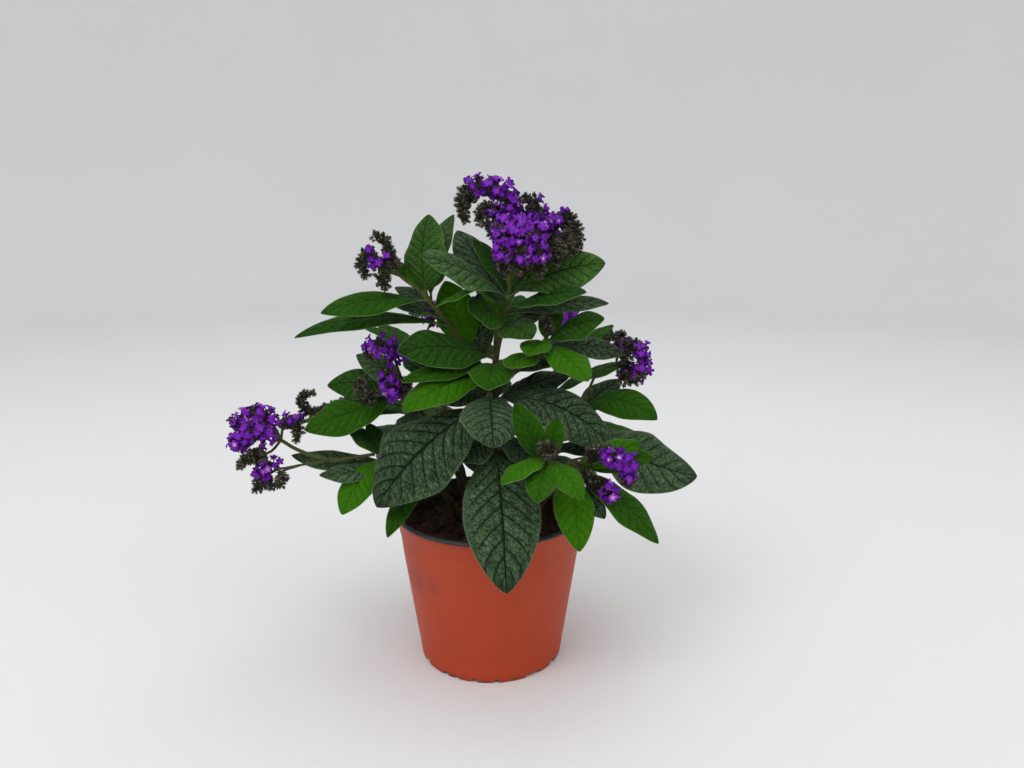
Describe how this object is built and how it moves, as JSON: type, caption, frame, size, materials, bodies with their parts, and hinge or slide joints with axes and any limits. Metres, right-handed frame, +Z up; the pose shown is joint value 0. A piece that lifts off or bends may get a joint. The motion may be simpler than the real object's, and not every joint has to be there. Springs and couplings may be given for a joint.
{
  "type": "potted heliotrope",
  "caption": "Bushy heliotrope with quilted leaves and violet flower heads on coiled branches, growing in peat in a tapered round plastic pot that stands on its foot.",
  "frame": {"origin": "on the ground at the centre of the pot's foot, on the flat pad under the middle of the pot's floor", "axes": "+Z is up through the pot and the plant; -Y is the front, the side that the picture shows; +X is to the right as seen from the front"},
  "size_m": [0.3346, 0.2298, 0.3408],
  "materials": {
    "pot_plastic": "satin terracotta-coloured plastic outside, black inside and on the rim",
    "peat": "coarse damp red-brown peat",
    "foliage": "softly hairy green leaves with sunken net veins, green to brownish stems",
    "blossom": "matt violet petals with pale throats, dark violet and olive buds"
  },
  "bodies": {
    "root": {"pot": "pot_plastic", "soil": "peat", "stem_leader": "foliage", "stem_upper_left": "foliage", "stem_upper_right": "foliage", "stem_left": "foliage", "stem_mid_left": "foliage", "stem_front": "foliage", "stem_rosette": "foliage", "stem_low_right": "foliage", "stem_mid_right": "foliage", "stem_back_left": "foliage", "stem_back_right": "foliage", "stem_back": "foliage", "head_top": "blossom", "head_far_left": "blossom", "head_upper_left": "blossom", "head_left_high": "blossom", "head_left_mid": "blossom", "head_left_tip": "blossom", "head_right": "blossom", "head_low_right": "blossom", "head_rosette": "blossom", "head_right_bud": "blossom", "head_back_left": "blossom", "head_back_right": "blossom"}
  },
  "joints": []
}
